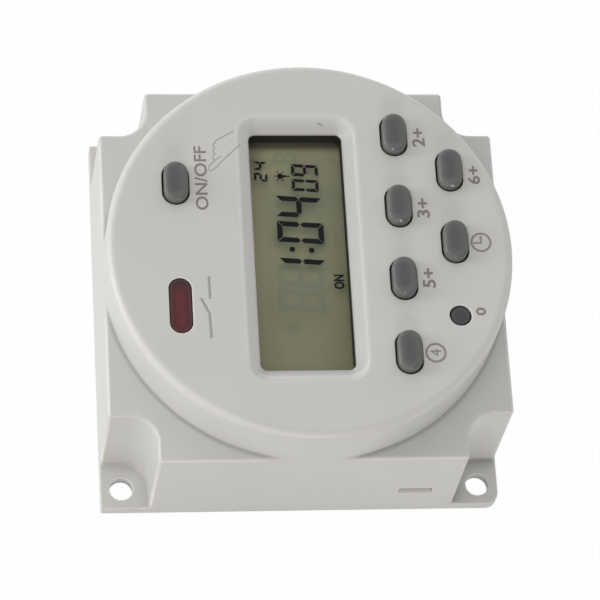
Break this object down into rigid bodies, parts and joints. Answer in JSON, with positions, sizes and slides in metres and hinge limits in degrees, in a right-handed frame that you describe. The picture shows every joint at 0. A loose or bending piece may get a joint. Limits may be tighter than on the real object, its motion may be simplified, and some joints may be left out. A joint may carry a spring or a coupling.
{
  "type": "digital timer switch",
  "caption": "Square screw-fixed digital timer switch with a round face, a recessed liquid crystal screen, oval push keys, a small reset key, a red indicator and a bay of wire terminals.",
  "frame": {"origin": "centre of the square back, on the plane that lies against the wall", "axes": "+Z out of the face. +X towards the side where the wires enter, which is the bottom of the face in use. +Y to the right of the face in use."},
  "size_m": [0.06, 0.06, 0.0313],
  "materials": {
    "case_plastic": "fine moulded grain, warm light grey",
    "key_plastic": "smooth moulded, mid grey",
    "dark_key_plastic": "smooth moulded, dark grey",
    "mat_rubber": "silicone rubber",
    "red_lens": "translucent dark red",
    "red_lamp": "clear red resin",
    "clear_pane": "clear acrylic",
    "screen_glass": "thin flat glass",
    "reflector_film": "olive grey film",
    "dark_frame": "moulded black",
    "contact_rubber": "layered conductive rubber",
    "board_green": "glass fibre board with solder mask",
    "black_resin": "cast resin",
    "plain_steel": "zinc plated",
    "cell_metal": "nickel plated can",
    "tinned_brass": "tin plated",
    "relay_plastic": "moulded cover",
    "yellow_box_plastic": "moulded box",
    "can_aluminium": "sleeved can",
    "blue_resin": "dipped coating",
    "beige_resin": "lacquered body",
    "header_plastic": "moulded"
  },
  "bodies": {
    "housing": {"front_case": "case_plastic", "back_cover": "case_plastic", "key_mat": "mat_rubber", "manual_key_mat": "mat_rubber", "indicator_lens": "red_lens", "indicator_lamp": "red_lamp", "screen_pane": "clear_pane", "screen_upper_glass": "screen_glass", "screen_lower_glass": "screen_glass", "screen_reflector": "reflector_film", "screen_frame": "dark_frame", "zebra_strips": "contact_rubber", "display_board": "board_green", "controller_blob": "black_resin", "watch_crystal": "plain_steel", "backup_cell": "cell_metal", "backup_cell_tab": "plain_steel", "display_board_screws": "plain_steel", "power_board_screws": "plain_steel", "power_board": "board_green", "relay": "relay_plastic", "relay_pins": "tinned_brass", "film_capacitor": "yellow_box_plastic", "smoothing_capacitor": "can_aluminium", "varistor": "blue_resin", "relay_transistor": "black_resin", "rectifier_diodes": "black_resin", "resistors": "beige_resin", "link_header": "header_plastic", "link_pins": "tinned_brass", "wire_terminal_1": "tinned_brass", "wire_terminal_2": "tinned_brass", "wire_terminal_3": "tinned_brass", "wire_terminal_4": "tinned_brass", "wire_terminal_5": "tinned_brass"},
    "key_minute": {"key_minute": "key_plastic"},
    "key_hour": {"key_hour": "key_plastic"},
    "key_day": {"key_day": "key_plastic"},
    "key_program": {"key_program": "key_plastic"},
    "key_second": {"key_second": "key_plastic"},
    "key_clock": {"key_clock": "key_plastic"},
    "key_manual": {"key_manual": "key_plastic"},
    "key_reset": {"key_reset": "dark_key_plastic"}
  },
  "joints": [
    {"name": "key_minute_press", "type": "slide", "parent": "housing", "child": "key_minute", "axis": [0, 0, -1], "range_m": [0, 0.001], "stiffness_N_per_m": 300, "springref_m": -0.0005, "deforming": ["key_mat"]},
    {"name": "key_hour_press", "type": "slide", "parent": "housing", "child": "key_hour", "axis": [0, 0, -1], "range_m": [0, 0.001], "stiffness_N_per_m": 300, "springref_m": -0.0005, "deforming": ["key_mat"]},
    {"name": "key_day_press", "type": "slide", "parent": "housing", "child": "key_day", "axis": [0, 0, -1], "range_m": [0, 0.001], "stiffness_N_per_m": 300, "springref_m": -0.0005, "deforming": ["key_mat"]},
    {"name": "key_program_press", "type": "slide", "parent": "housing", "child": "key_program", "axis": [0, 0, -1], "range_m": [0, 0.001], "stiffness_N_per_m": 300, "springref_m": -0.0005, "deforming": ["key_mat"]},
    {"name": "key_second_press", "type": "slide", "parent": "housing", "child": "key_second", "axis": [0, 0, -1], "range_m": [0, 0.001], "stiffness_N_per_m": 300, "springref_m": -0.0005, "deforming": ["key_mat"]},
    {"name": "key_clock_press", "type": "slide", "parent": "housing", "child": "key_clock", "axis": [0, 0, -1], "range_m": [0, 0.001], "stiffness_N_per_m": 300, "springref_m": -0.0005, "deforming": ["key_mat"]},
    {"name": "key_manual_press", "type": "slide", "parent": "housing", "child": "key_manual", "axis": [0, 0, -1], "range_m": [0, 0.001], "stiffness_N_per_m": 300, "springref_m": -0.0005, "deforming": ["manual_key_mat"]},
    {"name": "key_reset_press", "type": "slide", "parent": "housing", "child": "key_reset", "axis": [0, 0, -1], "range_m": [0, 0.001], "stiffness_N_per_m": 300, "springref_m": -0.0005, "deforming": ["key_mat"]}
  ]
}
